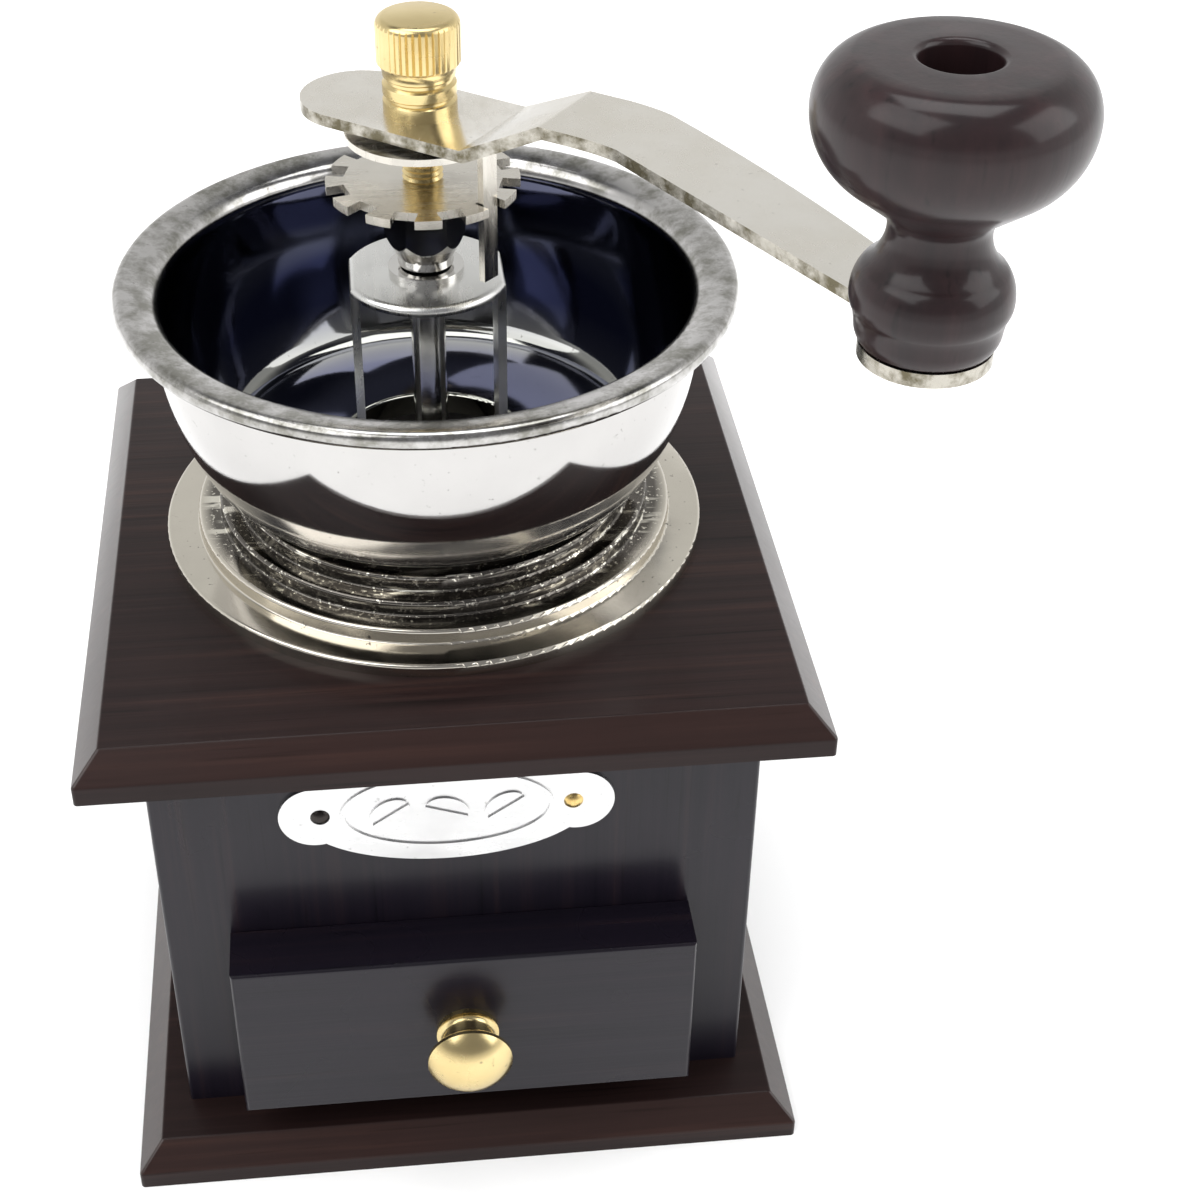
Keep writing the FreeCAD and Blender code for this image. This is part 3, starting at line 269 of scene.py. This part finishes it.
def cast_iron(name):
    """Rough dark iron for the two burrs."""
    g = Graph(name, Metallic=0.85)
    base = g.place()
    grit = g.noise(base, 1500.0, 6.0, 0.7)
    stain = g.noise(base, 90.0, 4.0, 0.6)
    g.set("Base Color", g.ramp(stain, ((0.3, (0.05, 0.048, 0.046)), (0.7, (0.14, 0.13, 0.12)))))
    g.set("Roughness", g.span(grit, 0.45, 0.75, 0.3, 0.7))
    g.bump(grit, 0.0001, 0.7)
    return g.material


def plain_wood(name):
    """Plain unfinished wood of the drawer box and runners."""
    g = Graph(name, Specular_IOR_Level=0.3)
    fibres = g.noise(g.place((160, 14, 420)), 1.0, 6.0, 0.6)
    rings = g.noise(g.place((30, 4, 90)), 1.0, 2.0, 0.5)
    tones = ((0.3, (0.30, 0.18, 0.09)), (0.55, (0.47, 0.31, 0.18)), (0.8, (0.60, 0.43, 0.27)))
    colour = g.ramp(fibres, tones)
    g.set("Base Color", g.mix(g.span(rings, 0.0, 0.5, 0.4, 0.65), colour, (0.36, 0.22, 0.12)))
    g.set("Roughness", g.span(fibres, 0.55, 0.8, 0.3, 0.7))
    g.bump(fibres, 0.0001, 0.6)
    return g.material


def nail_metal(name):
    """Two small nails: the left one blackened, the right one still brass."""
    g = Graph(name, Metallic=1.0)
    wear = g.noise(g.place(), 900.0, 4.0, 0.6)
    side = g.span(g.axes("Object")["X"], 0.0, 1.0, -0.001, 0.001)
    bright = g.mix(g.span(wear, 0.0, 1.0, 0.35, 0.65), (0.60, 0.42, 0.16), (0.83, 0.62, 0.26))
    g.set("Base Color", g.mix(side, (0.045, 0.040, 0.038), bright))
    g.set("Roughness", g.span(wear, 0.2, 0.42, 0.3, 0.7))
    g.bump(wear, 0.00003, 0.5)
    return g.material


# dark, middle and warm tones of the wood, then how far its grain is stretched along X and along Z
ESPRESSO = ((0.0085, 0.0050, 0.0050), (0.0185, 0.0098, 0.0092), (0.046, 0.022, 0.017))
# The panel and drawer tones are the case wood made darker and bluer: painted shade and a painted bluish
# reflection on the upright faces.
COOL_PAINTED_SHEEN = ((0.0048, 0.0040, 0.0078), (0.0090, 0.0068, 0.0118), (0.024, 0.014, 0.016))
GRAIN_X = (9, 420, 420)
GRAIN_Z = (420, 420, 9)
finishes = {
    "case_wood": stained_wood("case_wood", GRAIN_X, *ESPRESSO),
    "panel_wood": stained_wood("panel_wood", GRAIN_Z, *COOL_PAINTED_SHEEN, rough=0.3, coat=0.12, gloss=0.27),
    "drawer_wood": stained_wood("drawer_wood", GRAIN_X, *COOL_PAINTED_SHEEN, rough=0.26, coat=0.12, gloss=0.26, edge=False),
    "handle_wood": stained_wood("handle_wood", (240, 240, 14), (0.009, 0.005, 0.006), (0.020, 0.0095, 0.0105),
                                (0.038, 0.017, 0.018), rough=0.4, coat=0.42, gloss=0.16, edge=False),
    "inner_wood": plain_wood("inner_wood"),
    "bowl_chrome": polished_metal("bowl_chrome", (0.54, 0.53, 0.52), 0.07, 0.5, dress=dress_bowl),
    "pedestal_chrome": polished_metal("pedestal_chrome", (0.68, 0.64, 0.56), 0.15, 0.9, 0.00016,
                                      dress=dress_pedestal),
    "nail_metal": nail_metal("nail_metal"),
    "shaft_steel": polished_metal("shaft_steel", (0.66, 0.65, 0.63), 0.12, 0.3),
    "lock_steel": polished_metal("lock_steel", (0.66, 0.63, 0.57), 0.22, 0.4, brushed=(90, 900, 90)),
    "bridge_steel": polished_metal("bridge_steel", (0.74, 0.74, 0.72), 0.26, 0.2, brushed=(900, 60, 60)),
    "crank_nickel": polished_metal("crank_nickel", (0.76, 0.735, 0.68), 0.2, 0.25, 0.0002, (700, 300, 700),
                                   (0.64, 0.60, 0.51), dress_crank),
    "plate_steel": polished_metal("plate_steel", (0.70, 0.70, 0.70), 0.26, 0.3, brushed=(60, 60, 900)),
    "brass": polished_metal("brass", (0.74, 0.60, 0.31), 0.23, 0.5, tone=(0.60, 0.45, 0.20)),
    "screw_steel": polished_metal("screw_steel", (0.56, 0.54, 0.50), 0.24, 0.6),
    "burr_iron": cast_iron("burr_iron"),
}
PANELS = ("front_panel", "back_panel", "left_panel", "right_panel")
# The panels and the drawer front get the copies of the case wood with painted shade and a painted bluish
# reflection.
own_finish = {"drawer_front": "drawer_wood", "nameplate_nails": "nail_metal"}
own_finish.update({name: "panel_wood" for name in PANELS})
slot_of = {entry["node"]: entry["material_slot"] for entry in frame["record"]["subparts"]}
WELD_REACH = 0.000004
SHARP_ANGLE = math.radians(28)


def dress(name, item):
    """Gives a CAD node its finish, and shades it smooth except over its sharp edges."""
    item.data.materials.clear()
    item.data.materials.append(finishes[own_finish.get(name, slot_of[name])])
    for attribute in [entry for entry in item.data.attributes if entry.name == "custom_normal"]:
        item.data.attributes.remove(attribute)
    for face in item.data.polygons:
        face.use_smooth = True
    item.modifiers.new("weld", "WELD").merge_threshold = WELD_REACH
    sharp = item.modifiers.new("sharp", "EDGE_SPLIT")
    sharp.split_angle = SHARP_ANGLE
    sharp.use_edge_sharp = False


for name, item in nodes.items():
    dress(name, item)

# ---------------------------------------------------------------- floor, light and camera

FLOOR = 6.0
corners = [(-FLOOR, -FLOOR, 0), (FLOOR, -FLOOR, 0), (FLOOR, FLOOR, 0), (-FLOOR, FLOOR, 0)]
floor_mesh = bpy.data.meshes.new("floor")
floor_mesh.from_pydata(corners, [], [(0, 1, 2, 3)])
floor_mesh.materials.append(Graph("floor", Base_Color=(0.93, 0.93, 0.93, 1), Roughness=0.7,
                                  Specular_IOR_Level=0.15).material)
floor = bpy.data.objects.new("floor", floor_mesh)
scene.collection.objects.link(floor)

# The room is plain white by sight and for soft light. Glossy faces see white walls, a dark ceiling and a
# dim front, so that the bowl and the crank have something to reflect.
WALLS = (1.0, 1.0, 1.0)
UPPER_WALLS = (0.72, 0.72, 0.71)
CEILING = (0.035, 0.038, 0.055)
DIM_FRONT = (0.27, 0.27, 0.28)
world = bpy.data.worlds.new("studio")
world.use_nodes = True
scene.world = world
studio = Nodes(world.node_tree)
background = world.node_tree.nodes["Background"]
background.inputs["Strength"].default_value = 1.0
direction = studio.axes("Generated")


def looking(axis, start, end):
    """0 to 1 while one component of the direction looked in goes from start to end."""
    return studio.span(direction[axis], 0.0, 1.0, start, end, "SMOOTHSTEP")


walls = studio.mix(looking("Z", 0.25, 0.55), WALLS, UPPER_WALLS)
room = studio.mix(looking("Z", 0.66, 0.84), walls, CEILING)
front = studio.math("MULTIPLY", looking("Y", 0.0, -0.5), looking("Z", 0.06, 0.28))
seen_in_gloss = studio.mix(front, room, DIM_FRONT)
ray = studio.add("ShaderNodeLightPath")
plain = studio.math("MAXIMUM", ray.outputs["Is Camera Ray"], ray.outputs["Is Diffuse Ray"])
studio.link(studio.mix(plain, seen_in_gloss, WALLS), background.inputs["Color"])


def soft_light(name, spot, size, power):
    """A rectangular lamp that points at the middle of the object."""
    data = bpy.data.lights.new(name, "AREA")
    data.shape = "RECTANGLE"
    data.size, data.size_y = size
    data.energy = power
    lamp = bpy.data.objects.new(name, data)
    scene.collection.objects.link(lamp)
    lamp.location = spot
    lamp.rotation_euler = (MIDDLE - Vector(spot)).to_track_quat("-Z", "Y").to_euler()


MIDDLE = Vector((0, 0, 0.1))
soft_light("key", (-1.1, -0.5, 1.7), (1.7, 1.4), 20)
soft_light("fill", (1.5, -0.5, 1.1), (1.4, 1.2), 12)
soft_light("top", (0.1, 0.25, 2.1), (1.5, 1.0), 18)

EYE = Vector((-0.012445, -0.318148, 0.325606))
AHEAD = Vector((0.0793, 0.7961, -0.5999)).normalized()
camera_data = bpy.data.cameras.new("camera")
camera_data.sensor_width = 36
camera_data.lens = 62.787
camera_data.shift_x = 0.05
camera_data.clip_start = 0.01
camera = bpy.data.objects.new("camera", camera_data)
scene.collection.objects.link(camera)
camera.location = EYE
camera.rotation_euler = AHEAD.to_track_quat("-Z", "Y").to_euler()
scene.camera = camera
scene.view_settings.view_transform = "Standard"
